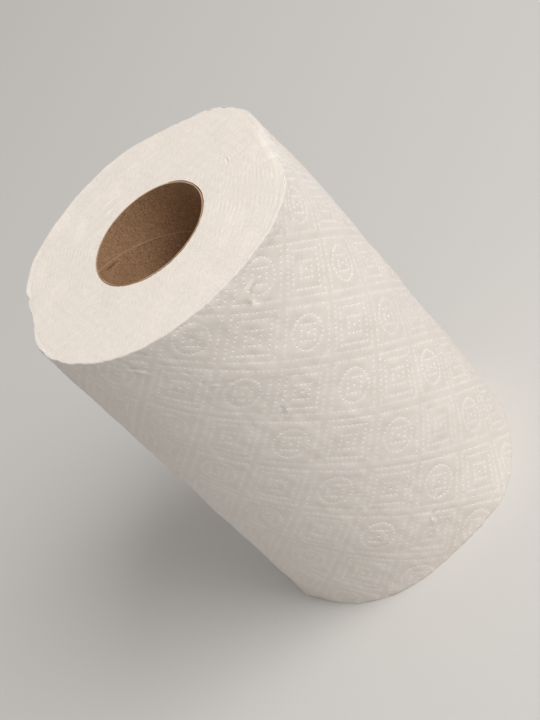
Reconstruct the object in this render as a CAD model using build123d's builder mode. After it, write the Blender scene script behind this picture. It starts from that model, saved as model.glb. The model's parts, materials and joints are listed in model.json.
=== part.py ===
"""Paper towel roll: one long embossed paper web, wound on a spiral-wound cardboard core.

Millimetres.  The origin is the centre of the lower end, +Z runs up the roll's axis and -Y is its
front.  Bearings are in degrees, counter-clockwise from +X as seen from above.
"""
from build123d import *
import os
from dataclasses import dataclass
from math import cos, degrees, exp, radians, sin

# The roll
ROLL_RADIUS = 60.0       # mean outer radius of the wound web
ROLL_HEIGHT = 174.0      # width of the web, cut flush with the core by one saw cut at each end
RIM_SOFTNESS = 1.0       # rounding of the two outer rims, where the cut plies have relaxed

# The core
CORE_BORE_RADIUS = 24.25
CORE_WALL = 0.5
CORE_GAP = 0.0           # the first turn is glued to the core, so no clearance is left

# The soft dents and swells of each end fade out along the roll, which is round in between
DENT_REACH = 32.0        # distance from an end at which its outline is round
FADE_LEVELS = (0.0, 0.15, 0.35, 0.6, 1.0)    # shares of that distance at which it is drawn
OUTLINE_POINTS = 48      # evenly spaced, close enough for the narrowest dent

# The web's free end, which stands a little proud of the turn below it
TAIL_BEARING = 42.0
TAIL_LIFT = 0.9          # how far the cut edge stands out from the mean radius
TAIL_ROOT_DEPTH = 0.6    # how deep the last ply's flat stretch starts inside the mean radius
TAIL_LENGTH = 14.0       # length of that flat stretch, measured round the roll


@dataclass(frozen=True)
class Swell:
    """A soft bulge in an end's outline, or a dent where its height is negative."""

    bearing: float
    height: float
    half_width: float    # degrees from the crest to 0.37 of its height

    def rise(self, bearing):
        """Outward shift of the outline at a bearing."""
        turn = (bearing - self.bearing + 180) % 360 - 180
        return self.height * exp(-((turn / self.half_width) ** 2))


TOP_SWELLS = (
    Swell(bearing=-14, height=-3.6, half_width=22),    # the dent that a hand leaves
    Swell(bearing=-50, height=3.2, half_width=23),
    Swell(bearing=28, height=1.5, half_width=14),
    Swell(bearing=54, height=-1.2, half_width=14),
    Swell(bearing=132, height=1.3, half_width=16),
    Swell(bearing=167, height=-3.5, half_width=15),    # its fellow across the roll
)
FOOT_SWELLS = (
    Swell(bearing=-6, height=-1.1, half_width=26),
    Swell(bearing=-60, height=2.4, half_width=15),
    Swell(bearing=-90, height=-1.4, half_width=17),
    Swell(bearing=-133, height=0.8, half_width=23),
)


def polar(radius, bearing):
    """Point at a radius and a bearing."""
    return (radius * cos(radians(bearing)), radius * sin(radians(bearing)))


def outline_points(swells, share):
    """Closed outline of the wound web where an end's swells keep this share of their height."""
    points = []
    for step in range(OUTLINE_POINTS):
        bearing = 360 * step / OUTLINE_POINTS
        rise = share * sum(swell.rise(bearing) for swell in swells)
        points.append(polar(ROLL_RADIUS + rise, bearing))
    return points


core_outer_radius = CORE_BORE_RADIUS + CORE_WALL
web_bore_radius = core_outer_radius + CORE_GAP

# Height, swells and their share at each drawn outline, from the foot to the top
outlines = [(DENT_REACH * fade, FOOT_SWELLS, (1 - fade) ** 2) for fade in FADE_LEVELS]
outlines += [
    (ROLL_HEIGHT - DENT_REACH * fade, TOP_SWELLS, (1 - fade) ** 2) for fade in reversed(FADE_LEVELS)
]

# Wound web: every turn together is one soft solid
with BuildPart() as wound_towel:
    for level, swells, share in outlines:
        with BuildSketch(Plane.XY.offset(level)):
            with BuildLine():
                Spline(outline_points(swells, share), periodic=True)
            make_face()
    loft()
    fillet(wound_towel.faces().filter_by(GeomType.PLANE).edges(), radius=RIM_SOFTNESS)

    # The last ply's flat stretch, from inside the roll out to the cut edge
    tail_root_bearing = TAIL_BEARING - degrees(TAIL_LENGTH / ROLL_RADIUS)
    with BuildSketch(Plane.XY.offset(RIM_SOFTNESS)):
        with BuildLine():
            Polyline(
                polar(ROLL_RADIUS - TAIL_ROOT_DEPTH, tail_root_bearing),
                polar(ROLL_RADIUS - 2 * TAIL_ROOT_DEPTH, TAIL_BEARING),
                polar(ROLL_RADIUS + TAIL_LIFT, TAIL_BEARING),
                close=True,
            )
        make_face()
    extrude(amount=ROLL_HEIGHT - 2 * RIM_SOFTNESS)

    with BuildSketch():
        Circle(web_bore_radius)
    extrude(amount=ROLL_HEIGHT, mode=Mode.SUBTRACT)
wound_towel.part.label = "wound_towel"

# Core: plies of kraft board wound to one plain tube
with BuildPart() as cardboard_core:
    with BuildSketch():
        Circle(core_outer_radius)
        Circle(CORE_BORE_RADIUS, mode=Mode.SUBTRACT)
    extrude(amount=ROLL_HEIGHT)
cardboard_core.part.label = "cardboard_core"

os.makedirs("parts", exist_ok=True)
for piece in (wound_towel, cardboard_core):
    export_step(piece.part, f"parts/{piece.part.label}.step")
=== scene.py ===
"""Visual model of a paper towel roll that stands on its end.

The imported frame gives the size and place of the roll.  Round it this script builds the roll as the
real one is made: the last sheet of the embossed web with its free edge, the sheet before it, the
turns beneath them, and the two plies of the spiral-wound cardboard core.

Lengths are in metres.  Bearings are in degrees, counter-clockwise from +X as seen from above, and
-Y is the roll's front.  On the flat web x grows counter-clockwise round the roll and is zero at the
free edge, y is the height, and z stands out from the paper.
"""
import json
import logging
import math
from dataclasses import dataclass, field
from enum import Enum
from typing import Sequence

import bmesh
import bpy
import numpy as np
from mathutils import Matrix, Vector


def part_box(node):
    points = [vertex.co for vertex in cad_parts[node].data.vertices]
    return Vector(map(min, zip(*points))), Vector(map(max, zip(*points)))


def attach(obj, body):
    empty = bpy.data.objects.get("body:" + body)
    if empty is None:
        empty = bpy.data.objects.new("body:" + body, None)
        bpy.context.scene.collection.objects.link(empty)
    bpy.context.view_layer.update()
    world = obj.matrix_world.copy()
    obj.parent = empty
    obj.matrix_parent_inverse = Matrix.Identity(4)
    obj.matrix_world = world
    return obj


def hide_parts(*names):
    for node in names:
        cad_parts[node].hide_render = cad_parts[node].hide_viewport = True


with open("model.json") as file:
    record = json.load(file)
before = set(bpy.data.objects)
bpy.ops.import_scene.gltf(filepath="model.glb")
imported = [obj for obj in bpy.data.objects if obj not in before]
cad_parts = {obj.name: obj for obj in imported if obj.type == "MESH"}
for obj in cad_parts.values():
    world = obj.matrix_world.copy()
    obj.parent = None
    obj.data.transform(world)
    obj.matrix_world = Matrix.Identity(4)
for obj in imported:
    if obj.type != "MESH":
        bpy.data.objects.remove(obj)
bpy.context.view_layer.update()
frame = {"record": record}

ROOT_BODY = "root"
WEB_ATTRIBUTE = "web"
WEAR_ATTRIBUTE = "wear"
# Share of painted highlight: the lit walls of the dots' pits and the lit rims of the paper.
PAINTED_HIGHLIGHT_ATTRIBUTE = "dot"
SHARP_ANGLE = 22  # degrees between two faces, past which their edge is shaded sharp

log = logging.getLogger("towel_roll")


def mm(value: float) -> float:
    """Millimetres as metres."""
    return value / 1000


# --- Shared helpers -----------------------------------------------------------------------------


def ripple(points: np.ndarray, wavelength: float, seed: int, octaves: int = 2) -> np.ndarray:
    """Smooth seeded unevenness of about -1 to 1, a sum of waves that run every way.

    Args:
        points: one row of three coordinates for each value wanted.
        wavelength: distance over which it swings once.
        seed: picks the waves.
        octaves: how many finer layers are added up.

    Returns:
        One value for each point.
    """
    rng = np.random.default_rng(seed)
    total = np.zeros(len(points))
    for octave in range(octaves):
        share = 0.5**octave
        for _ in range(8):
            way = rng.normal(size=3)
            way *= math.tau / (np.linalg.norm(way) * wavelength * share * rng.uniform(0.7, 1.4))
            total += share * np.sin(points @ way + rng.uniform(0, math.tau))
    return total / 2.6


def bell(distance: np.ndarray, half_width: float) -> np.ndarray:
    """Soft bump that is 1 at no distance and 0.37 at the half width."""
    return np.exp(-((distance / half_width) ** 2))


def smooth_step(value: np.ndarray, low: float, high: float) -> np.ndarray:
    """Soft ramp from 0 at low to 1 at high."""
    share = np.clip((value - low) / (high - low), 0, 1)
    return share * share * (3 - 2 * share)


def turn_from(start: float, bearing: np.ndarray) -> np.ndarray:
    """Turn from one bearing to others by the shorter way, in degrees."""
    return (bearing - start + 180) % 360 - 180


def around(radius: np.ndarray, bearing: np.ndarray, level: np.ndarray) -> np.ndarray:
    """Points at radii, bearings and heights, one row each."""
    angle = np.radians(bearing)
    return np.stack([radius * np.cos(angle), radius * np.sin(angle), level], axis=1)


def read_points(mesh: bpy.types.Mesh) -> np.ndarray:
    """Reads the places of a mesh's vertices.

    Args:
        mesh: the mesh.

    Returns:
        One row of three coordinates for each vertex.
    """
    flat = np.zeros(len(mesh.vertices) * 3)
    mesh.vertices.foreach_get("co", flat)
    return flat.reshape(-1, 3)


def write_points(mesh: bpy.types.Mesh, points: np.ndarray) -> None:
    """Puts a mesh's vertices at new places."""
    mesh.vertices.foreach_set("co", points.ravel())
    mesh.update()


def add_attribute(mesh: bpy.types.Mesh, name: str, values: np.ndarray) -> None:
    """Stores a value at each vertex, for a material to read.

    Args:
        mesh: the mesh that carries it.
        name: the attribute's name.
        values: one number or one row of three for each vertex.
    """
    kind, key = ("FLOAT", "value") if values.ndim == 1 else ("FLOAT_VECTOR", "vector")
    attribute = mesh.attributes.new(name, kind, "POINT")
    attribute.data.foreach_set(key, values.astype(np.float32).ravel())


def cut_sheet(work: bmesh.types.BMesh, point: tuple, normal: tuple, clear: bool = True) -> None:
    """Cuts a flat sheet along a straight line.

    Args:
        work: the sheet.
        point: a point on the line.
        normal: direction across the line.
        clear: whether the paper on that side is thrown away.
    """
    geometry = [*work.verts, *work.edges, *work.faces]
    bmesh.ops.bisect_plane(
        work, geom=geometry, dist=mm(0.01), plane_co=point, plane_no=normal, clear_outer=clear
    )


def mesh_from(work: bmesh.types.BMesh, name: str, smooth: bool = True) -> bpy.types.Mesh:
    """Finished mesh from a bmesh, which is freed.

    Args:
        work: the bmesh.
        name: the mesh's name.
        smooth: whether its faces are shaded smooth.

    Returns:
        The new mesh.
    """
    mesh = bpy.data.meshes.new(name)
    work.to_mesh(mesh)
    work.free()
    mesh.polygons.foreach_set("use_smooth", [smooth] * len(mesh.polygons))
    return mesh


def place_piece(
    mesh: bpy.types.Mesh, material: bpy.types.Material, node: str
) -> bpy.types.Object:
    """Puts a mesh in the scene as a piece of the roll.

    Args:
        mesh: the finished mesh, in the frame's own place.
        material: its finish.
        node: the CAD node that it stands for.

    Returns:
        The piece.
    """
    piece = bpy.data.objects.new(mesh.name, mesh)
    bpy.context.scene.collection.objects.link(piece)
    mesh.materials.append(material)
    mesh.set_sharp_from_angle(angle=math.radians(SHARP_ANGLE))
    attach(piece, ROOT_BODY)
    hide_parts(node)
    mesh.calc_loop_triangles()
    triangles = len(mesh.loop_triangles)
    log.info("%s: %d vertices, %d triangles", mesh.name, len(mesh.vertices), triangles)
    return piece


# --- Form of the roll ---------------------------------------------------------------------------


@dataclass(frozen=True)
class Swell:
    """A soft bulge in an end's outline, or a dent where its height is negative."""

    bearing: float
    height: float
    half_width: float

    def rise(self, bearing: np.ndarray) -> np.ndarray:
        """Outward shift of the outline at each bearing."""
        return self.height * bell(turn_from(self.bearing, bearing), self.half_width)


@dataclass(frozen=True)
class RimFold:
    """A soft crease that runs over the top rim, inward on the end and down the side."""

    bearing: float
    depth: float
    half_width: float
    reach: float

    def drop(
        self, bearing: np.ndarray, radius: float, inward: np.ndarray, down: np.ndarray
    ) -> np.ndarray:
        """Depth of the crease.

        Args:
            bearing: bearings, in degrees.
            radius: the roll's radius.
            inward: distances in from the rim.
            down: distances below the rim.

        Returns:
            One depth for each place.
        """
        across = np.radians(turn_from(self.bearing, bearing)) * radius
        fade = np.clip(1 - np.hypot(inward, 1.6 * down) / self.reach, 0, 1)
        return self.depth * fade * bell(across, self.half_width)


@dataclass(frozen=True)
class RollForm:
    """Outer form of the wound roll, round between its two dented ends."""

    height: float
    bore_radius: float
    core_radius: float
    radius: float = mm(60)
    turn_thickness: float = mm(0.4)
    tail_bearing: float = 42
    swell_reach: float = mm(32)
    top_swells: tuple[Swell, ...] = (
        Swell(-14, mm(-3.6), 22),
        Swell(-50, mm(3.2), 23),
        Swell(12, mm(1.1), 10),
        Swell(29, mm(2.0), 13),
        Swell(54, mm(-1.2), 14),
        Swell(132, mm(1.3), 16),
        Swell(165, mm(-3.2), 14),
    )
    rim_folds: tuple[RimFold, ...] = (
        RimFold(-12, mm(0.5), mm(2.4), mm(11)),
        RimFold(-22, mm(0.8), mm(1.5), mm(15)),
        RimFold(-34, mm(0.6), mm(1.3), mm(11)),
        RimFold(-54, mm(0.5), mm(0.9), mm(4)),
        RimFold(152, mm(0.5), mm(1.4), mm(8)),
        RimFold(170, mm(0.2), mm(1.6), mm(9)),
    )
    scallop: float = mm(0.2)
    roll_over: Swell = Swell(-14, mm(1.0), 14)
    roll_reach: float = mm(4)
    foot_swells: tuple[Swell, ...] = (
        Swell(-6, mm(-1.6), 24),
        Swell(-60, mm(2.4), 15),
        Swell(-90, mm(-1.4), 17),
        Swell(-133, mm(0.8), 23),
        Swell(-165, mm(0.9), 7),
    )

    @classmethod
    def from_frame(cls) -> "RollForm":
        """Reads the height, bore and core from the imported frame.

        Returns:
            The form of the roll in the frame.
        """
        low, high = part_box("wound_towel")
        core_low, core_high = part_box("cardboard_core")
        bore = next(m for m in frame["record"]["mounts"] if m["name"] == "core_bore")
        return cls(
            height=high.z - low.z,
            bore_radius=mm(bore["dims"]["r_mm"]),
            core_radius=(core_high.x - core_low.x) / 2,
        )

    def top_rise(self, bearing: np.ndarray) -> np.ndarray:
        """Outward shift of the top rim."""
        return sum(swell.rise(bearing) for swell in self.top_swells)

    def foot_rise(self, bearing: np.ndarray) -> np.ndarray:
        """Outward shift of the bottom rim."""
        return sum(swell.rise(bearing) for swell in self.foot_swells)

    def surface_radius(self, bearing: np.ndarray, level: np.ndarray) -> np.ndarray:
        """Radius of the roll's outside.

        Args:
            bearing: bearings, in degrees.
            level: heights above the foot.

        Returns:
            One radius for each place.
        """
        from_top = np.clip(1 - (self.height - level) / self.swell_reach, 0, 1) ** 2
        from_foot = np.clip(1 - level / self.swell_reach, 0, 1) ** 2
        spots = around(self.radius, bearing, level)
        near_end = bell(np.minimum(level, self.height - level), mm(5))
        swell = from_top * self.top_rise(bearing) + from_foot * self.foot_rise(bearing)
        return self.radius + swell + self.scallop * near_end * ripple(spots, mm(9), 129)

    def rim_drop(self, bearing: np.ndarray, inward: np.ndarray, down: np.ndarray) -> np.ndarray:
        """How far the paper at the top rim is pressed over.

        Args:
            bearing: bearings, in degrees.
            inward: distances in from the rim.
            down: distances below the rim.

        Returns:
            One depth for each place.
        """
        folds = sum(fold.drop(bearing, self.radius, inward, down) for fold in self.rim_folds)
        share = np.clip(1 - np.hypot(inward, down) / self.roll_reach, 0, 1) ** 2
        return folds + share * (mm(0.1) + self.roll_over.rise(bearing))

    def bearing_at(self, web_x: np.ndarray) -> np.ndarray:
        """Bearing of a place on the web."""
        return self.tail_bearing + np.degrees(web_x / self.radius)


# --- Emboss -------------------------------------------------------------------------------------


class CellKind(Enum):
    """The two kinds of cell that alternate over the web."""

    SQUARES = "squares"
    CIRCLES = "circles"


@dataclass(frozen=True)
class DotRow:
    """A closed ring of pressed dots round a cell's centre."""

    reach: float
    count: int
    is_circle: bool

    def places(self) -> list[tuple[float, float]]:
        """Places the ring's dots.

        Returns:
            Their centres, from the cell's centre.
        """
        if self.is_circle:
            angles = [math.tau * step / self.count for step in range(self.count)]
            return [(self.reach * math.cos(a), self.reach * math.sin(a)) for a in angles]
        reach = self.reach
        places = []
        for step in range(self.count):
            along = reach * (2 * step / self.count - 1)
            places += [(along, -reach), (reach, along), (-along, reach), (-reach, -along)]
        return places

    def distance(self, a: np.ndarray, b: np.ndarray) -> np.ndarray:
        """Measures how far places are from the ring's line.

        Args:
            a: distances from the cell's centre along the first dot direction.
            b: distances along the second.

        Returns:
            One distance for each place.
        """
        if self.is_circle:
            return np.abs(np.hypot(a, b) - self.reach)
        return np.abs(np.maximum(np.abs(a), np.abs(b)) - self.reach)


@dataclass(frozen=True)
class Emboss:
    """Dot emboss: square cells stood on their corners, bordered by rows of dots."""

    anchor_x: float
    anchor_y: float
    skew: float = -1.3
    cell_side: float = mm(23.12)
    facets_per_side: int = 29
    mouth_radius: float = mm(0.55)
    dot_half_width: float = mm(0.34)
    dot_depth: float = mm(0.43)
    # Half width of the painted highlight round each dot.
    dot_highlight_half_width: float = mm(0.5)
    puff: float = mm(0.075)
    puff_half_width: float = mm(1.1)
    border: DotRow = DotRow(mm(9.9), 10, False)
    rings: dict[CellKind, tuple[DotRow, ...]] = field(
        default_factory=lambda: {
            CellKind.SQUARES: (DotRow(mm(6.93), 7, False), DotRow(mm(2.97), 3, False)),
            CellKind.CIRCLES: (DotRow(mm(6.8), 24, True), DotRow(mm(2.97), 3, False)),
        }
    )

    @property
    def facet(self) -> float:
        """Side of one facet of the web's mesh."""
        return self.cell_side / self.facets_per_side

    @property
    def lean(self) -> float:
        """Angle of the first dot direction from the way round the roll, in radians."""
        return math.radians(45 + self.skew)

    def to_lattice(self, x: np.ndarray, y: np.ndarray) -> tuple[np.ndarray, np.ndarray]:
        """Turns places on the web into distances along the two dot directions.

        Args:
            x: places along the web.
            y: heights on the web.

        Returns:
            Distances from the anchor cell's centre along the first and second directions.
        """
        dx, dy = x - self.anchor_x, y - self.anchor_y
        c, s = math.cos(self.lean), math.sin(self.lean)
        return c * dx + s * dy, c * dy - s * dx

    def from_lattice(self, a: float, b: float) -> tuple[float, float]:
        """Turns distances along the two dot directions into a place on the web."""
        c, s = math.cos(self.lean), math.sin(self.lean)
        return self.anchor_x + c * a - s * b, self.anchor_y + s * a + c * b

    def kind_of(self, column: int, row: int) -> CellKind:
        """Kind of the cell in a column and row of the lattice."""
        return CellKind.SQUARES if (column + row) % 2 == 0 else CellKind.CIRCLES

    def cell_dots(self, kind: CellKind) -> list[tuple[float, float]]:
        """Places a cell's dots.

        Args:
            kind: the kind of cell.

        Returns:
            The dots' centres, from the cell's own centre.
        """
        dots = [(0.0, 0.0)]
        for ring in (self.border, *self.rings[kind]):
            dots += ring.places()
        return dots

    def dots(
        self, corners: Sequence[tuple[float, float]]
    ) -> dict[tuple[int, int], tuple[float, float]]:
        """Every dot near a stretch of web, by the facet that it falls on.

        Args:
            corners: corners of the stretch.

        Returns:
            The dots' centres along the lattice, by the column and row of their facet.
        """
        spots = [self.to_lattice(x, y) for x, y in corners]
        columns = [math.floor(a / self.cell_side) for a, b in spots]
        rows = [math.floor(b / self.cell_side) for a, b in spots]
        found = {}
        for column in range(min(columns), max(columns) + 2):
            for row in range(min(rows), max(rows) + 2):
                for a, b in self.cell_dots(self.kind_of(column, row)):
                    place = (a + column * self.cell_side, b + row * self.cell_side)
                    found[self.facet_of(*place)] = place
        return found

    def facet_of(self, a: float, b: float) -> tuple[int, int]:
        """Column and row of the facet round a place on the lattice."""
        return (round(a / self.facet), round(b / self.facet))

    def relief(self, x: np.ndarray, y: np.ndarray) -> tuple[np.ndarray, np.ndarray]:
        """Height of the emboss: pits at the dots, and soft puffs between their rows.

        Args:
            x: places along the web.
            y: heights on the web.

        Returns:
            One height for each place, and a share from 0 to 1 round each dot that sets the dot's
            painted highlight.
        """
        a, b = self.to_lattice(x, y)
        column, row = np.round(a / self.cell_side), np.round(b / self.cell_side)
        a, b = a - column * self.cell_side, b - row * self.cell_side
        height, pressed = np.zeros(len(a)), np.zeros(len(a))
        for kind, rings in self.rings.items():
            inside = ((column + row) % 2 == 0) == (kind is CellKind.SQUARES)
            u, v = a[inside], b[inside]
            lines = [ring.distance(u, v) for ring in (self.border, *rings)]
            nearest_line = np.minimum.reduce([*lines, np.hypot(u, v)])
            dots = [np.hypot(u - p, v - q) for p, q in self.cell_dots(kind)]
            nearest_dot = np.minimum.reduce(dots)
            puff = self.puff * (1 - bell(nearest_line, self.puff_half_width))
            # A share round each dot for its painted highlight, not a depth.
            pressed[inside] = bell(nearest_dot, self.dot_highlight_half_width)
            height[inside] = puff - self.dot_depth * bell(nearest_dot, self.dot_half_width)
        return height, pressed


@dataclass(frozen=True)
class Crease:
    """A pinched fold in the paper, from one place to another."""

    bearings: tuple[float, float]
    depths: tuple[float, float]
    height: float
    half_width: float

    def lift(self, bearing: np.ndarray, depth: np.ndarray, radius: float) -> np.ndarray:
        """Outward shift of the paper: a ridge with a groove beside it.

        Args:
            bearing: bearings, in degrees.
            depth: distances below the top rim.
            radius: the roll's radius, which turns bearings into lengths.

        Returns:
            One height for each place.
        """
        start = np.array([math.radians(self.bearings[0]) * radius, self.depths[0]])
        run = np.array([math.radians(self.bearings[1]) * radius, self.depths[1]]) - start
        length = float(np.hypot(*run))
        turn = turn_from(self.bearings[0], bearing) + self.bearings[0]
        away = np.stack([np.radians(turn) * radius, depth], axis=1) - start
        along = away @ run / length
        across = (away[:, 0] * run[1] - away[:, 1] * run[0]) / length
        across = across + self.half_width * np.sin(along / self.half_width * 0.7) * 0.6
        fade = smooth_step(along, -self.half_width, self.half_width) * smooth_step(
            length - along, -self.half_width, self.half_width
        )
        ridge = bell(across, self.half_width)
        groove = bell(across - 1.4 * self.half_width, self.half_width)
        return self.height * fade * (ridge - 0.9 * groove)


CREASES = (
    Crease((-78, -82), (mm(8), mm(13)), mm(0.9), mm(1.3)),
    Crease((-131, -125), (mm(6.5), mm(12.5)), mm(0.4), mm(0.7)),
    Crease((-116, -114.5), (mm(17.5), mm(28)), mm(0.14), mm(0.6)),
    Crease((-114.5, -105), (mm(28), mm(35)), mm(0.14), mm(0.6)),
    Crease((-80, -86), (mm(143), mm(148)), mm(0.5), mm(0.9)),
    Crease((-87, -90), (mm(147), mm(156)), mm(0.45), mm(0.9)),
    Crease((-101, -95), (mm(62), mm(54)), mm(0.4), mm(1.1)),
)


# --- Embossed web -------------------------------------------------------------------------------


@dataclass
class WebSheet:
    """One sheet of the web, wrapped round the outside of the roll as a thin closed solid."""

    name: str
    low_x: float
    high_x: float
    form: RollForm
    emboss: Emboss
    thickness: float = mm(0.9)
    edge_thickness: float = mm(0.35)
    back_strip: float = mm(6)
    rim_radius: float = mm(0.5)
    rim_thickness: float = mm(0.5)
    tail_length: float = mm(11)
    tail_lift: float = mm(0.8)
    tie_spacing: float = mm(4.8)
    cut_depth: float = mm(0.3)

    def build(self, material: bpy.types.Material) -> bpy.types.Object:
        """Makes the sheet.

        Args:
            material: the paper's finish.

        Returns:
            The finished piece.
        """
        work = self._flat_web()
        self._press_dots(work)
        self._give_thickness(work)
        mesh = mesh_from(work, self.name)
        flat = read_points(mesh)
        relief, pressed = self.emboss.relief(flat[:, 0], flat[:, 1])
        write_points(mesh, self._wrap(flat, relief))
        add_attribute(mesh, WEB_ATTRIBUTE, flat)
        # Painted highlight: the dots' pits and the rims are made paler than plain paper.
        add_attribute(mesh, PAINTED_HIGHLIGHT_ATTRIBUTE, self._painted_highlight(flat, pressed))
        return place_piece(mesh, material, "wound_towel")

    def _corners(self) -> list[tuple[float, float]]:
        """Corners of the flat sheet."""
        return [(x, y) for x in (self.low_x, self.high_x) for y in (0, self.form.height)]

    def _flat_web(self) -> bmesh.types.BMesh:
        """Makes the flat sheet, of small facets that lie along the two directions of the dots.

        Returns:
            The sheet, with lines near its two rims where it bends over.
        """
        emboss = self.emboss
        spots = [emboss.to_lattice(x, y) for x, y in self._corners()]
        middle_a = sum(a for a, b in spots) / len(spots)
        middle_b = sum(b for a, b in spots) / len(spots)
        reach = max(max(abs(a - middle_a), abs(b - middle_b)) for a, b in spots)
        count = 2 * math.ceil(reach / emboss.facet) + 1
        centre = [round(m / emboss.facet) * emboss.facet for m in (middle_a, middle_b)]
        place = (
            Matrix.Translation((emboss.anchor_x, emboss.anchor_y, 0))
            @ Matrix.Rotation(emboss.lean, 4, "Z")
            @ Matrix.Translation((*centre, 0))
        )
        work = bmesh.new()
        bmesh.ops.create_grid(
            work, x_segments=count, y_segments=count, size=count * emboss.facet / 2, matrix=place
        )
        edges = (
            ((self.low_x, 0, 0), (-1, 0, 0)),
            ((self.high_x, 0, 0), (1, 0, 0)),
            ((0, 0, 0), (0, -1, 0)),
            ((0, self.form.height, 0), (0, 1, 0)),
        )
        for point, normal in edges:
            cut_sheet(work, point, normal)
        for inset in (0.4 * self.rim_radius, self.rim_radius):
            cut_sheet(work, (0, inset, 0), (0, -1, 0), clear=False)
            cut_sheet(work, (0, self.form.height - inset, 0), (0, 1, 0), clear=False)
        return work

    def _press_dots(self, work: bmesh.types.BMesh) -> None:
        """Turns the facets that dots fall on into round pits.

        Args:
            work: the sheet.
        """
        emboss = self.emboss
        dots = emboss.dots(self._corners())
        full_facet = 0.98 * emboss.facet**2
        pressed = {}
        for face in work.faces:
            if len(face.verts) == 4 and face.calc_area() > full_facet:
                middle = face.calc_center_median()
                key = emboss.facet_of(*emboss.to_lattice(middle.x, middle.y))
                if key in dots:
                    pressed[face] = dots[key]
        rims = dict.fromkeys(edge for face in pressed for edge in face.edges)
        bmesh.ops.bisect_edges(work, edges=list(rims), cuts=1)
        for face, place in pressed.items():
            centre = Vector((*emboss.from_lattice(*place), 0))
            for vert in face.verts:
                outward = (vert.co - centre).normalized()
                vert.co = centre + outward * emboss.mouth_radius
        bmesh.ops.poke(work, faces=list(pressed), center_mode="MEAN")
        log.info("%s: %d dots", self.name, len(pressed))

    def _give_thickness(self, work: bmesh.types.BMesh) -> None:
        """Closes the sheet with cut edges and a plain back of coarse panels.

        Args:
            work: the sheet.
        """
        border = [edge for edge in work.edges if edge.is_boundary]
        made = bmesh.ops.extrude_edge_only(work, edges=border)["geom"]
        back_verts = [item for item in made if isinstance(item, bmesh.types.BMVert)]
        back_edges = [
            item for item in made if isinstance(item, bmesh.types.BMEdge) and item.is_boundary
        ]
        bmesh.ops.translate(work, verts=back_verts, vec=(0, 0, -self.thickness))
        panels = bmesh.ops.contextual_create(work, geom=back_edges)["faces"]
        for level in self._back_levels():
            panels = self._split(work, panels, (0, level, 0), (0, 1, 0))
        columns = math.ceil((self.high_x - self.low_x) / self.back_strip)
        for column in range(1, columns):
            x = self.low_x + (self.high_x - self.low_x) * column / columns
            panels = self._split(work, panels, (x, 0, 0), (1, 0, 0))
        bmesh.ops.recalc_face_normals(work, faces=list(work.faces))

    def _back_levels(self) -> list[float]:
        """Spaces out the bends of the back.

        Returns:
            Heights at which it bends to follow the dented ends.
        """
        reach = self.form.swell_reach
        depths = [reach * share for share in (0.15, 0.35, 0.6, 1.0)]
        return [*depths, *(self.form.height - depth for depth in depths)]

    def _split(self, work: bmesh.types.BMesh, panels: list, point: tuple, normal: tuple) -> list:
        """Cuts the back's panels along a straight line.

        Args:
            work: the sheet.
            panels: the back's faces.
            point: a point on the line.
            normal: direction across the line.

        Returns:
            The back's faces after the cut.
        """
        edges = dict.fromkeys(edge for face in panels for edge in face.edges)
        verts = dict.fromkeys(vert for face in panels for vert in face.verts)
        cut = bmesh.ops.bisect_plane(
            work, geom=[*verts, *edges, *panels], dist=mm(0.001), plane_co=point, plane_no=normal
        )
        return [item for item in cut["geom"] if isinstance(item, bmesh.types.BMFace)]

    def _painted_highlight(self, flat: np.ndarray, pressed: np.ndarray) -> np.ndarray:
        """Finds the painted highlight: how far the paper is made lighter than plain paper.

        Args:
            flat: places on the flat sheet, one row each.
            pressed: share round each dot, from 0 to 1, that sets its painted highlight.

        Returns:
            A share from 0 to 1: full in a dot, a painted highlight for the lit wall of its pit, and
                half at a rim, a painted highlight along the lit edge.
        """
        rim_distance = np.minimum(flat[:, 1], self.form.height - flat[:, 1])
        is_face = flat[:, 2] > -self.thickness / 2
        return np.maximum(pressed * is_face, 0.5 * bell(rim_distance, mm(0.3)))

    def _wrap(self, flat: np.ndarray, relief: np.ndarray) -> np.ndarray:
        """Wraps the flat sheet round the roll, with its puffs, folds and worn edges.

        Args:
            flat: places on the flat sheet, one row each.
            relief: height of the emboss at each of them.

        Returns:
            The same places on the roll.
        """
        form = self.form
        x, y, z = flat.T
        bearing = form.bearing_at(x)
        bare = form.surface_radius(bearing, y) + form.turn_thickness * x / (math.tau * form.radius)
        spots = around(bare, bearing, y)
        rim_distance = np.minimum(y, form.height - y)
        front = self._front_shift(flat, spots, relief, rim_distance)
        shift = np.where(z < -self.thickness / 2, -self._back_depth(x, rim_distance), front)
        drop = form.rim_drop(bearing, 0 * x, form.height - y)
        radius = bare + shift + self._tail_rise(x, y, rim_distance) - 0.8 * drop
        level = y - drop + mm(0.03) * ripple(spots, mm(6), 66) * bell(rim_distance, mm(0.5))
        return around(radius, self._ragged(bearing, x, y), np.clip(level, 0, None))

    def _front_shift(
        self, flat: np.ndarray, spots: np.ndarray, relief: np.ndarray, rim_distance: np.ndarray
    ) -> np.ndarray:
        """Shapes the face: emboss, slack paper, creases, rounded rims and perforation.

        Args:
            flat: places on the flat sheet, one row each.
            spots: the same places on the plain roll.
            relief: height of the emboss.
            rim_distance: distances from the nearer rim.

        Returns:
            How far each place stands out from the plain roll.
        """
        form = self.form
        x, y, _ = flat.T
        bearing = form.bearing_at(x)
        slack = np.clip(1 + 0.4 * ripple(spots, mm(28), 31), 0.3, 1.6)
        puffs = relief * slack * smooth_step(rim_distance, 0, mm(2))
        sag = mm(0.2) * ripple(spots, mm(34), 84, 3) + mm(0.07) * ripple(spots, mm(7), 52)
        sag = sag * smooth_step(rim_distance, 0, mm(6))
        folds = sum(crease.lift(bearing, form.height - y, form.radius) for crease in CREASES)
        bend = np.maximum(self.rim_radius - rim_distance, 0)
        rounding = self.rim_radius - np.sqrt(np.maximum(self.rim_radius**2 - bend**2, 0))
        return puffs + sag + folds - 0.6 * rounding - self._perforation(x, y)

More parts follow.
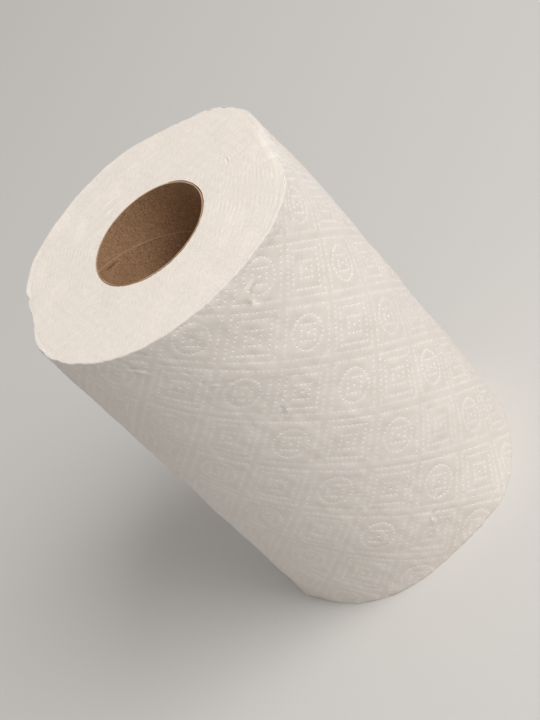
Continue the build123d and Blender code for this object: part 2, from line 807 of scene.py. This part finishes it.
    def _back_depth(self, x: np.ndarray, rim_distance: np.ndarray) -> np.ndarray:
        """Shapes the back: full inside the sheet, and thinner towards its rims and cut edges.

        Args:
            x: places along the web.
            rim_distance: distances from the nearer rim.

        Returns:
            How far the back lies inside the plain roll.
        """
        edge = np.minimum(np.abs(x - self.low_x), np.abs(x - self.high_x))
        at_rim = (self.rim_thickness - self.edge_thickness) * smooth_step(edge, 0, mm(2))
        inside = smooth_step(np.minimum(edge, rim_distance), 0, mm(4))
        return self.edge_thickness + at_rim + (self.thickness - self.rim_thickness) * inside

    def _tail_rise(self, x: np.ndarray, y: np.ndarray, rim_distance: np.ndarray) -> np.ndarray:
        """Lifts the free edge, more towards its upper end and not at the rims.

        Args:
            x: places along the web.
            y: heights on the web.
            rim_distance: distances from the nearer rim.

        Returns:
            How far the paper is lifted.
        """
        tail = smooth_step(x, -self.tail_length, 0)
        flutter = 0.5 + 0.7 * smooth_step(y, self.form.height - mm(90), self.form.height - mm(8))
        flutter = flutter + 0.4 * ripple(np.stack([0 * y, 0 * y, y], axis=1), mm(38), 22)
        return self.tail_lift * tail * flutter * smooth_step(rim_distance, 0, mm(8))

    def _perforation(self, x: np.ndarray, y: np.ndarray) -> np.ndarray:
        """Cuts the dip of a perforated edge, which short ties interrupt.

        Args:
            x: places along the web.
            y: heights on the web.

        Returns:
            One depth for each place.
        """
        perforated = [edge for edge in (self.low_x, self.high_x) if edge < -mm(1)]
        tie = bell((y / self.tie_spacing) % 1 - 0.5, 0.13)
        return sum(self.cut_depth * bell(x - edge, mm(0.5)) * (1 - tie) for edge in perforated)

    def _ragged(self, bearing: np.ndarray, x: np.ndarray, y: np.ndarray) -> np.ndarray:
        """Tears the free edge, so that its broken ties stand out.

        Args:
            bearing: bearings, in degrees.
            x: places along the web.
            y: heights on the web.

        Returns:
            The bearings of the torn paper.
        """
        torn = bell((y / self.tie_spacing) % 1 - 0.5, 0.12) * mm(0.5)
        fray = mm(0.25) * ripple(np.stack([y, 0 * y, 0 * y], axis=1), mm(1.6), 77)
        at_edge = bell(x, mm(0.3))
        return bearing + np.degrees((torn + fray) * at_edge / self.form.radius)


# --- Turns under the last sheet -----------------------------------------------------------------


@dataclass(frozen=True)
class Nick:
    """A spot on the upper end where a single turn has caught and curled."""

    bearing: float
    radius: float
    reach: float

    def dip(self, bearing: np.ndarray, radius: np.ndarray) -> np.ndarray:
        """Shapes the nick: a short groove with a raised curl outside it.

        Args:
            bearing: bearings, in degrees.
            radius: radii before the turns are dented.

        Returns:
            One depth for each place.
        """
        along = np.radians(turn_from(self.bearing, bearing)) * self.radius
        across = radius - self.radius - 0.3 * along
        curl = mm(0.25) * bell(across - mm(0.9), mm(0.5))
        return bell(along, self.reach) * (mm(0.35) * bell(across, mm(0.5)) - curl)


@dataclass
class WoundTurns:
    """The turns beneath the outer sheets, one spiral whose cut edges make both ends."""

    form: RollForm
    steps: int = 276
    inset: float = mm(0.6)
    slack_inset: float = mm(1.1)
    recess: float = mm(0.12)
    groove: float = mm(0.045)
    wall_depths: tuple[float, ...] = (mm(2), mm(5), mm(11), mm(19), mm(32))
    nicks: tuple[Nick, ...] = (
        Nick(95, mm(37), mm(2.2)),
        Nick(99, mm(32), mm(1.6)),
        Nick(-2, mm(40), mm(1.2)),
    )

    def build(self, material: bpy.types.Material) -> bpy.types.Object:
        """Makes the turns.

        Args:
            material: finish of the cut paper edges.

        Returns:
            The finished piece.
        """
        mesh = mesh_from(self._spiral(), "inner_turns", smooth=False)
        write_points(mesh, self._dress(read_points(mesh)))
        return place_piece(mesh, material, "wound_towel")

    def _profile(self) -> list[tuple[float, float]]:
        """Draws the section through the turns.

        Returns:
            Its corners as radius and height: out along the foot, up the wall and back at the top.
        """
        form = self.form
        half_turn = form.turn_thickness / 2
        count = 2 * round((form.radius - self.inset - form.core_radius) / form.turn_thickness) - 2
        radii = [form.core_radius + half_turn * step for step in range(count + 1)]
        levels = [*self.wall_depths, *(form.height - depth for depth in reversed(self.wall_depths))]
        foot = [(radius, 0.0) for radius in radii]
        wall = [(radii[-1], level) for level in levels]
        top = [(radius, form.height) for radius in reversed(radii)]
        return [*foot, *wall, *top]

    def _spiral(self) -> bmesh.types.BMesh:
        """Winds the section round the core, so that each turn runs into the next.

        Returns:
            The closed solid.
        """
        form = self.form
        profile = self._profile()
        across = len(profile)
        spread = Matrix.Diagonal((self.steps, across, 1, 1)) @ Matrix.Translation((0.5, 0.5, 0))
        work = bmesh.new()
        bmesh.ops.create_grid(
            work, x_segments=self.steps, y_segments=across, size=0.5, matrix=spread
        )
        for vert in work.verts:
            turn = vert.co.x / self.steps
            radius, level = profile[round(vert.co.y) % across]
            angle = math.radians(form.tail_bearing) + math.tau * turn
            radius += form.turn_thickness * turn
            vert.co = (radius * math.cos(angle), radius * math.sin(angle), level)
        bmesh.ops.remove_doubles(work, verts=list(work.verts), dist=mm(0.02))
        bmesh.ops.holes_fill(work, edges=[edge for edge in work.edges if edge.is_boundary], sides=0)
        bmesh.ops.recalc_face_normals(work, faces=list(work.faces))
        return work

    def _dress(self, points: np.ndarray) -> np.ndarray:
        """Presses the turns into the roll's real outline and roughens their cut edges.

        Args:
            points: places on the plain spiral, one row each.

        Returns:
            The same places on the real roll.
        """
        form = self.form
        flat_radius = np.hypot(points[:, 0], points[:, 1])
        bearing = np.degrees(np.arctan2(points[:, 1], points[:, 0]))
        level = points[:, 2]
        outer = form.radius - self.inset
        share = np.clip((flat_radius - form.core_radius) / (outer - form.core_radius), 0, 1.05)
        rise = form.surface_radius(bearing, level) - form.radius
        radius = flat_radius + rise * share**2.2
        end_distance = np.minimum(level, form.height - level)
        radius = radius - self.slack_inset * smooth_step(end_distance, mm(1), mm(5))
        pressed = form.rim_drop(bearing, np.clip(outer - flat_radius, 0, None), form.height - level)
        spots = around(flat_radius, bearing, level)
        is_groove = self._is_groove(flat_radius, bearing)
        rough = mm(0.05) * ripple(spots, mm(3.2), 91) + mm(0.03) * ripple(spots, mm(1.7), 13)
        inside_rim = 1 - smooth_step(share, 0.94, 0.99)
        drop = (self.recess + mm(0.08) * ripple(spots, mm(23), 105)) * inside_rim
        drop = drop + self.groove * is_groove * (0.8 + 0.3 * ripple(spots, mm(14), 44)) + rough
        nicked = drop + sum(nick.dip(bearing, flat_radius) for nick in self.nicks)
        is_top = level > form.height - mm(0.01)
        is_foot = level < mm(0.01)
        raised_foot = np.where(is_foot, level + np.clip(drop, 0, None), level)
        height = np.where(is_top, level - nicked, raised_foot) - pressed
        radius = radius - 0.8 * pressed + mm(0.04) * ripple(spots, mm(5), 27) * (share > 0.02)
        return around(radius, bearing, height)

    def _is_groove(self, radius: np.ndarray, bearing: np.ndarray) -> np.ndarray:
        """Finds the grooves between the turns.

        Args:
            radius: radii on the plain spiral.
            bearing: bearings, in degrees.

        Returns:
            1 between two turns and 0 on a turn's own edge.
        """
        form = self.form
        turn = ((bearing - form.tail_bearing) % 360) / 360
        steps = (radius - form.core_radius) / form.turn_thickness - turn
        return 0.5 - 0.5 * np.cos(math.tau * steps)


# --- Cardboard core -----------------------------------------------------------------------------


@dataclass
class CorePly:
    """One strip of board, wound as a helix into a layer of the core."""

    name: str
    inner_radius: float
    thickness: float
    start_bearing: float
    form: RollForm
    facet: float = mm(1.35)
    lead: float = mm(83.5)
    gap: float = mm(0.02)

    @property
    def slope(self) -> float:
        """Rise of the strip for each metre round the core."""
        return self.lead / (math.tau * self.inner_radius)

    @property
    def width(self) -> float:
        """Height of the strip between its two long edges."""
        return self.lead - self.gap

    def build(self, material: bpy.types.Material) -> bpy.types.Object:
        """Makes the ply.

        Args:
            material: the board's finish.

        Returns:
            The finished piece.
        """
        mesh = mesh_from(self._flat_strip(), self.name)
        flat = read_points(mesh)
        write_points(mesh, self._wind(flat))
        add_attribute(mesh, WEAR_ATTRIBUTE, self._wear(flat))
        return place_piece(mesh, material, "cardboard_core")

    def _flat_strip(self) -> bmesh.types.BMesh:
        """Makes the slanted strip flat, sawn at both ends of the roll.

        Returns:
            The strip, with its visible face at z = 0 and its thickness beside it.
        """
        height = self.form.height
        length = (height + self.lead) / self.slope
        slant = Matrix.Identity(4)
        slant[1][0] = -self.slope
        place = (
            Matrix.Translation((0, height, 0))
            @ slant
            @ Matrix.Diagonal((length, self.width, 1, 1))
            @ Matrix.Translation((0.5, 0.5, 0))
        )
        work = bmesh.new()
        bmesh.ops.create_grid(
            work,
            x_segments=math.ceil(length / self.facet),
            y_segments=math.ceil(self.width / self.facet),
            size=0.5,
            matrix=place,
        )
        cut_sheet(work, (0, 0, 0), (0, -1, 0))
        cut_sheet(work, (0, height, 0), (0, 1, 0))
        bmesh.ops.solidify(work, geom=list(work.faces), thickness=self.thickness)
        bmesh.ops.recalc_face_normals(work, faces=list(work.faces))
        return work

    def _seam_distance(self, flat: np.ndarray) -> np.ndarray:
        """Measures how far places on the strip are from its nearer long edge.

        Args:
            flat: places on the flat strip, one row each.

        Returns:
            One distance for each place.
        """
        across = flat[:, 1] - self.form.height + self.slope * flat[:, 0]
        nearer = np.minimum(np.abs(across), np.abs(self.width - across))
        return nearer * math.cos(math.atan(self.slope))

    def _wear(self, flat: np.ndarray) -> np.ndarray:
        """How rubbed the board is: 1 along its edges and sawn ends, 0 away from them."""
        end = np.minimum(flat[:, 1], self.form.height - flat[:, 1])
        return np.maximum(bell(self._seam_distance(flat), mm(0.35)), bell(end, mm(0.2)))

    def _wind(self, flat: np.ndarray) -> np.ndarray:
        """Winds the strip into the core, with its slight waviness and lifted edges.

        Args:
            flat: places on the flat strip, one row each.

        Returns:
            The same places on the core.
        """
        x, y, z = flat.T
        bearing = self.start_bearing - np.degrees(x / self.inner_radius)
        depth = np.abs(z)
        spots = around(self.inner_radius + depth, bearing, y)
        wave = mm(0.06) * ripple(spots, mm(18), 39) + mm(0.02) * ripple(spots, mm(3), 61)
        lifted = mm(0.02) * bell(self._seam_distance(flat), mm(0.6))
        is_face = depth < self.thickness / 2
        radius = self.inner_radius + depth + np.where(is_face, wave - lifted, 0)
        return around(radius, bearing, y)


# --- Finishes -----------------------------------------------------------------------------------


class NodeBench:
    """Small helper that adds and joins a material's nodes."""

    def __init__(self, name: str) -> None:
        """Starts a material with a Principled shader.

        Args:
            name: the material's name.
        """
        self.material = bpy.data.materials.new(name)
        self.material.use_nodes = True
        self.tree = self.material.node_tree
        self.shader = self.tree.nodes["Principled BSDF"]

    def node(self, kind: str, inputs: dict | None = None, **settings) -> bpy.types.Node:
        """Adds a node.

        Args:
            kind: the node's type.
            inputs: values or sockets for its inputs, by name or number.
            settings: the node's own properties.

        Returns:
            The new node.
        """
        made = self.tree.nodes.new(kind)
        for key, value in settings.items():
            setattr(made, key, value)
        for key, value in (inputs or {}).items():
            if isinstance(value, bpy.types.NodeSocket):
                self.tree.links.new(value, made.inputs[key])
            else:
                made.inputs[key].default_value = value
        return made

    def math(self, operation: str, *values: float | bpy.types.NodeSocket) -> bpy.types.NodeSocket:
        """Adds a Math node and returns its result."""
        return self.node("ShaderNodeMath", dict(enumerate(values)), operation=operation).outputs[0]

    def vector(
        self, operation: str, *values: object, output: str = "Vector"
    ) -> bpy.types.NodeSocket:
        """Adds a Vector Math node and returns one of its results."""
        made = self.node("ShaderNodeVectorMath", dict(enumerate(values)), operation=operation)
        return made.outputs[output]

    def attribute(self, name: str, output: str) -> bpy.types.NodeSocket:
        """Reads an attribute of the mesh."""
        return self.node("ShaderNodeAttribute", attribute_name=name).outputs[output]

    def object_place(self) -> bpy.types.NodeSocket:
        """Reads the place in the piece's own coordinates."""
        return self.node("ShaderNodeTexCoord").outputs["Object"]

    def stretch(self, place: bpy.types.NodeSocket, scale: tuple) -> bpy.types.NodeSocket:
        """Scales a place before a texture reads it."""
        return self.node("ShaderNodeMapping", {"Vector": place, "Scale": scale}).outputs[0]

    def noise(
        self, place: bpy.types.NodeSocket, scale: float, detail: float = 3, rough: float = 0.55
    ) -> bpy.types.NodeSocket:
        """Adds a Noise Texture and returns its value."""
        inputs = {"Vector": place, "Scale": scale, "Detail": detail, "Roughness": rough}
        return self.node("ShaderNodeTexNoise", inputs).outputs["Fac"]

    def polar(
        self, place: bpy.types.NodeSocket, round_scale: float, radial_scale: float
    ) -> bpy.types.NodeSocket:
        """Stretches a place along the radius, so that noise on it makes radial strokes.

        Args:
            place: the place, with the roll's axis at its middle.
            round_scale: how finely the strokes divide the way round.
            radial_scale: how finely they divide the radius, for each metre.

        Returns:
            The place to feed a noise.
        """
        flat = self.vector("MULTIPLY", place, (1, 1, 0))
        radius = self.math("MULTIPLY", self.vector("LENGTH", flat, output="Value"), radial_scale)
        outward = self.node("ShaderNodeCombineXYZ", {"Z": radius}).outputs[0]
        way = self.vector("MULTIPLY", self.vector("NORMALIZE", flat), (round_scale,) * 3)
        return self.vector("ADD", way, outward)

    def ramp(
        self, value: bpy.types.NodeSocket, stops: Sequence[tuple[float, tuple]]
    ) -> bpy.types.NodeSocket:
        """Adds a Color Ramp.

        Args:
            value: what picks the colour.
            stops: two or more places on the ramp, each with its colour.

        Returns:
            The colour.
        """
        made = self.node("ShaderNodeValToRGB", {"Fac": value})
        elements = made.color_ramp.elements
        for element, (position, color) in zip(elements, stops):
            element.position = position
            element.color = (*color, 1)
        for position, color in stops[2:]:
            elements.new(position).color = (*color, 1)
        return made.outputs["Color"]

    def blend(
        self, share: bpy.types.NodeSocket | float, low: object, high: object
    ) -> bpy.types.NodeSocket:
        """Adds a colour Mix node.

        Args:
            share: how much of the second colour shows.
            low: the first colour or its socket.
            high: the second colour or its socket.

        Returns:
            The mixed colour.
        """
        made = self.node("ShaderNodeMix", data_type="RGBA")
        for key, value in (("Factor", share), ("A", low), ("B", high)):
            socket = next(s for s in made.inputs if s.name == key and s.enabled)
            if isinstance(value, bpy.types.NodeSocket):
                self.tree.links.new(value, socket)
            else:
                socket.default_value = (*value, 1) if key != "Factor" else value
        return next(s for s in made.outputs if s.enabled)

    def connect(self, value: bpy.types.NodeSocket, name: str) -> None:
        """Joins a result to one of the shader's inputs."""
        self.tree.links.new(value, self.shader.inputs[name])

    def bump(
        self,
        height: bpy.types.NodeSocket,
        distance: float,
        strength: float,
        below: bpy.types.NodeSocket | None = None,
    ) -> bpy.types.NodeSocket:
        """Adds a Bump node.

        Args:
            height: the height to follow.
            distance: how deep a full step of it is.
            strength: how much of it shows, from 0 to 1.
            below: the normal of a coarser bump, which this one is added to.

        Returns:
            The bumped normal.
        """
        inputs = {"Height": height, "Distance": distance, "Strength": strength}
        if below is not None:
            inputs["Normal"] = below
        return self.node("ShaderNodeBump", inputs).outputs[0]


@dataclass(frozen=True)
class Paper:
    """Soft creped paper, seen on its face."""

    color: tuple[float, float, float] = (0.85, 0.79, 0.735)
    shade: tuple[float, float, float] = (0.81, 0.745, 0.685)
    # Paler colour of the painted highlight in the dots and along the rims.
    pressed: tuple[float, float, float] = (0.96, 0.93, 0.90)
    roughness: float = 0.92
    sheen: float = 0.15
    crepe_scale: float = 1900
    crepe_stretch: tuple[float, float, float] = (1.0, 0.55, 1.0)
    fibre_scale: float = 5200
    cloud_scale: float = 90

    def make(self) -> bpy.types.Material:
        """Builds the material.

        Returns:
            The finished material.
        """
        bench = NodeBench("embossed_paper")
        web = bench.attribute(WEB_ATTRIBUTE, "Vector")
        crepe = bench.noise(bench.stretch(web, self.crepe_stretch), self.crepe_scale, 3, 0.6)
        fibre = bench.noise(web, self.fibre_scale, 2, 0.7)
        cloud = bench.noise(web, self.cloud_scale, 4, 0.6)
        tint = bench.ramp(cloud, [(0.3, self.shade), (0.7, self.color)])
        dot = bench.attribute(PAINTED_HIGHLIGHT_ATTRIBUTE, "Fac")
        # Blends in the paler colour: painted highlight in the dots' pits and along the rims.
        bench.connect(bench.blend(dot, tint, self.pressed), "Base Color")
        normal = bench.bump(crepe, mm(0.07), 0.5)
        bench.connect(bench.bump(fibre, mm(0.03), 0.5, normal), "Normal")
        finish_shader(bench.shader, self.roughness, self.sheen)
        return bench.material


@dataclass(frozen=True)
class CutEdges:
    """Ends of the turns, where the saw has fluffed the paper's cut edges."""

    color: tuple[float, float, float] = (0.96, 0.885, 0.81)
    shade: tuple[float, float, float] = (0.91, 0.83, 0.75)
    roughness: float = 0.95
    sheen: float = 0.1
    strokes_round: float = 70
    strokes_outward: float = 380
    grain_scale: float = 900

    def make(self) -> bpy.types.Material:
        """Builds the material.

        Returns:
            The finished material.
        """
        bench = NodeBench("cut_paper_edges")
        place = bench.object_place()
        fur = bench.noise(bench.polar(place, self.strokes_round, self.strokes_outward), 1, 3, 0.6)
        grain = bench.noise(place, self.grain_scale, 3, 0.6)
        mixed = bench.math("MULTIPLY_ADD", fur, 0.5, bench.math("MULTIPLY", grain, 0.5))
        bench.connect(bench.ramp(mixed, [(0.38, self.shade), (0.58, self.color)]), "Base Color")
        normal = bench.bump(grain, mm(0.22), 0.5)
        bench.connect(bench.bump(fur, mm(0.3), 0.6, normal), "Normal")
        finish_shader(bench.shader, self.roughness, self.sheen)
        return bench.material


@dataclass(frozen=True)
class KraftBoard:
    """Brown board of recycled fibres, paler where its edge is cut."""

    color: tuple[float, float, float] = (0.42, 0.24, 0.127)
    dark: tuple[float, float, float] = (0.20, 0.102, 0.05)
    pale: tuple[float, float, float] = (0.60, 0.41, 0.26)
    roughness: float = 0.85
    fibre_scale: float = 1300
    fibre_stretch: tuple[float, float, float] = (1.0, 1.0, 0.45)
    speckle_scale: float = 2600
    cloud_scale: float = 60
    seam_wear: tuple[float, float] = (0.72, 0.98)
    # Painted shadow below the seam: its middle, slope and size.
    seam_shadow_place: tuple[float, float, float] = (-0.0191, 0.0149, 0.1658)
    seam_shadow_slope: float = 0.548
    seam_shadow_size: tuple[float, float, float] = (mm(5.5), mm(0.6), mm(6))

    def make(self) -> bpy.types.Material:
        """Builds the material.

        Returns:
            The finished material.
        """
        bench = NodeBench("kraft_board")
        place = bench.object_place()
        fibre = bench.noise(bench.stretch(place, self.fibre_stretch), self.fibre_scale, 4, 0.75)
        speckle = bench.noise(place, self.speckle_scale, 2, 0.6)
        cloud = bench.noise(place, self.cloud_scale, 3, 0.5)
        base = bench.ramp(fibre, [(0.37, self.dark), (0.5, self.color), (0.66, self.pale)])
        base = bench.blend(bench.math("MULTIPLY", cloud, 0.3), base, self.color)
        flecks = bench.ramp(speckle, [(0.38, self.dark), (0.5, self.color), (0.64, self.pale)])
        base = bench.blend(0.6, base, flecks)
        wear = bench.attribute(WEAR_ATTRIBUTE, "Fac")
        low, high = self.seam_wear
        limits = {"Value": wear, "From Min": low, "From Max": high}
        seam = bench.node("ShaderNodeMapRange", limits).outputs[0]
        worn = bench.math("MULTIPLY", seam, bench.math("MULTIPLY_ADD", cloud, 1.2, 0.2))
        base = bench.blend(worn, base, self.pale)
        # Darkens a short mark below the seam with the dark colour: painted shadow.
        bench.connect(bench.blend(self._painted_seam_shadow(bench, place), base, self.dark), "Base Color")
        bench.connect(bench.bump(fibre, mm(0.12), 0.6), "Normal")
        finish_shader(bench.shader, self.roughness)
        return bench.material

    def _painted_seam_shadow(self, bench: NodeBench, place: bpy.types.NodeSocket) -> bpy.types.NodeSocket:
        """Paints a shadow on the bore: a short dark mark that follows the seam just below it.

        Args:
            bench: the material being built.
            place: the place on the board.

        Returns:
            How dark the scuff is at that place.
        """
        middle = Vector(self.seam_shadow_place)
        outward = Vector((middle.x, middle.y, 0)).normalized()
        along = (Vector((0, 0, 1)).cross(outward) + Vector((0, 0, self.seam_shadow_slope))).normalized()
        ways = (along, outward.cross(along), outward)
        axes = [way / size for way, size in zip(ways, self.seam_shadow_size)]
        away = bench.vector("SUBTRACT", place, middle)
        parts = [bench.vector("DOT_PRODUCT", away, axis, output="Value") for axis in axes]
        joined = bench.node("ShaderNodeCombineXYZ", dict(enumerate(parts))).outputs[0]
        reach = bench.vector("LENGTH", joined, output="Value")
        uneven = bench.math("ADD", reach, bench.math("MULTIPLY", bench.noise(place, 1500, 2), 1.4))
        limits = {"Value": uneven, "From Min": 1.8, "From Max": 1.1, "To Max": 0.8}
        return bench.node("ShaderNodeMapRange", limits).outputs[0]


def finish_shader(shader: bpy.types.Node, roughness: float, sheen: float = 0.0) -> None:
    """Sets the shader values that are the same all over a surface.

    Args:
        shader: the Principled shader.
        roughness: its roughness.
        sheen: weight of its sheen, as loose fibres give.
    """
    shader.inputs["Roughness"].default_value = roughness
    shader.inputs["Specular IOR Level"].default_value = 0.25
    shader.inputs["Sheen Weight"].default_value = sheen
    shader.inputs["Sheen Roughness"].default_value = 0.6


# --- Studio -------------------------------------------------------------------------------------


@dataclass(frozen=True)
class SoftLight:
    """A square soft box that faces the roll."""

    name: str
    place: tuple[float, float, float]
    size: float
    power: float
    color: tuple[float, float, float] = (1.0, 1.0, 1.0)

    def build(self, target: Vector) -> None:
        """Hangs the light.

        Args:
            target: the point that it faces.
        """
        data = bpy.data.lights.new(self.name, "AREA")
        data.shape = "SQUARE"
        data.size = self.size
        data.energy = self.power
        data.color = self.color
        lamp = bpy.data.objects.new(self.name, data)
        lamp.location = self.place
        lamp.rotation_mode = "QUATERNION"
        lamp.rotation_quaternion = (target - Vector(self.place)).to_track_quat("-Z", "Y")
        bpy.context.scene.collection.objects.link(lamp)


@dataclass(frozen=True)
class Studio:
    """Plain pale floor, soft light and the camera."""

    floor_size: float = 30.0
    floor_color: tuple[float, float, float] = (0.74, 0.725, 0.70)
    sky_color: tuple[float, float, float] = (1.0, 0.985, 0.965)
    sky_strength: float = 0.36
    camera_place: tuple[float, float, float] = (0.0, -0.5484, 0.5072)
    camera_aim: tuple[float, float, float] = (-0.0005, 0.0, 0.0918)
    camera_roll: float = 44.08
    lens: float = 85.65
    lights: tuple[SoftLight, ...] = (
        SoftLight("key_light", (0.96, -0.78, 1.64), 1.3, 27.5, (1.0, 0.985, 0.965)),
    )

    def build(self) -> None:
        """Sets up everything that isn't part of the roll."""
        self._floor()
        self._sky()
        self._camera()
        for light in self.lights:
            light.build(Vector(self.camera_aim))

    def _floor(self) -> None:
        """Lays the floor."""
        work = bmesh.new()
        bmesh.ops.create_grid(work, x_segments=1, y_segments=1, size=self.floor_size / 2)
        bench = NodeBench("pale_floor")
        bench.shader.inputs["Base Color"].default_value = (*self.floor_color, 1)
        finish_shader(bench.shader, 0.8)
        mesh = mesh_from(work, "floor")
        mesh.materials.append(bench.material)
        floor = bpy.data.objects.new("floor", mesh)
        bpy.context.scene.collection.objects.link(floor)

    def _sky(self) -> None:
        """Gives the scene its even light."""
        world = bpy.data.worlds.new("studio")
        world.use_nodes = True
        background = world.node_tree.nodes["Background"]
        background.inputs["Color"].default_value = (*self.sky_color, 1)
        background.inputs["Strength"].default_value = self.sky_strength
        bpy.context.scene.world = world
        bpy.context.scene.view_settings.view_transform = "Standard"

    def _camera(self) -> None:
        """Points the camera down at the roll, leaning over to its side."""
        data = bpy.data.cameras.new("camera")
        data.lens = self.lens
        data.sensor_width = 36
        camera = bpy.data.objects.new("camera", data)
        place = Vector(self.camera_place)
        look = (Vector(self.camera_aim) - place).to_track_quat("-Z", "Y")
        lean = Matrix.Rotation(-math.radians(self.camera_roll), 4, "Z")
        camera.matrix_world = Matrix.Translation(place) @ look.to_matrix().to_4x4() @ lean
        bpy.context.scene.collection.objects.link(camera)
        bpy.context.scene.camera = camera


# --- The roll -----------------------------------------------------------------------------------


@dataclass(frozen=True)
class TowelRoll:
    """The whole roll, built from its form."""

    form: RollForm
    sheet_length: float = mm(230)
    tucked_length: float = mm(12)
    anchor_bearing: float = -89.2
    anchor_depth: float = mm(24.7)
    seam_bearing: float = 169.2
    ply_gap: float = mm(0.02)

    def build(self) -> None:
        """Makes every piece of the roll."""
        form = self.form
        emboss = Emboss(
            anchor_x=math.radians(self.anchor_bearing - form.tail_bearing) * form.radius,
            anchor_y=form.height - self.anchor_depth,
        )
        paper = Paper().make()
        perforation = -self.sheet_length
        web_end = -math.tau * form.radius - self.tucked_length
        WebSheet("last_sheet", perforation, 0.0, form, emboss).build(paper)
        WebSheet("sheet_before", web_end, perforation, form, emboss).build(paper)
        WoundTurns(form).build(CutEdges().make())
        board = KraftBoard().make()
        ply = (form.core_radius - form.bore_radius) / 2
        board_thickness = ply - self.ply_gap
        seam, far_seam = self.seam_bearing, self.seam_bearing + 180
        inner, outer = form.bore_radius, form.bore_radius + ply
        CorePly("core_inner_ply", inner, board_thickness, seam, form).build(board)
        CorePly("core_outer_ply", outer, board_thickness, far_seam, form, facet=mm(2)).build(board)


def main() -> None:
    """Builds the roll and its studio."""
    logging.basicConfig(level=logging.INFO, format="%(name)s: %(message)s")
    TowelRoll(RollForm.from_frame()).build()
    Studio().build()


if __name__ == "__main__":
    main()
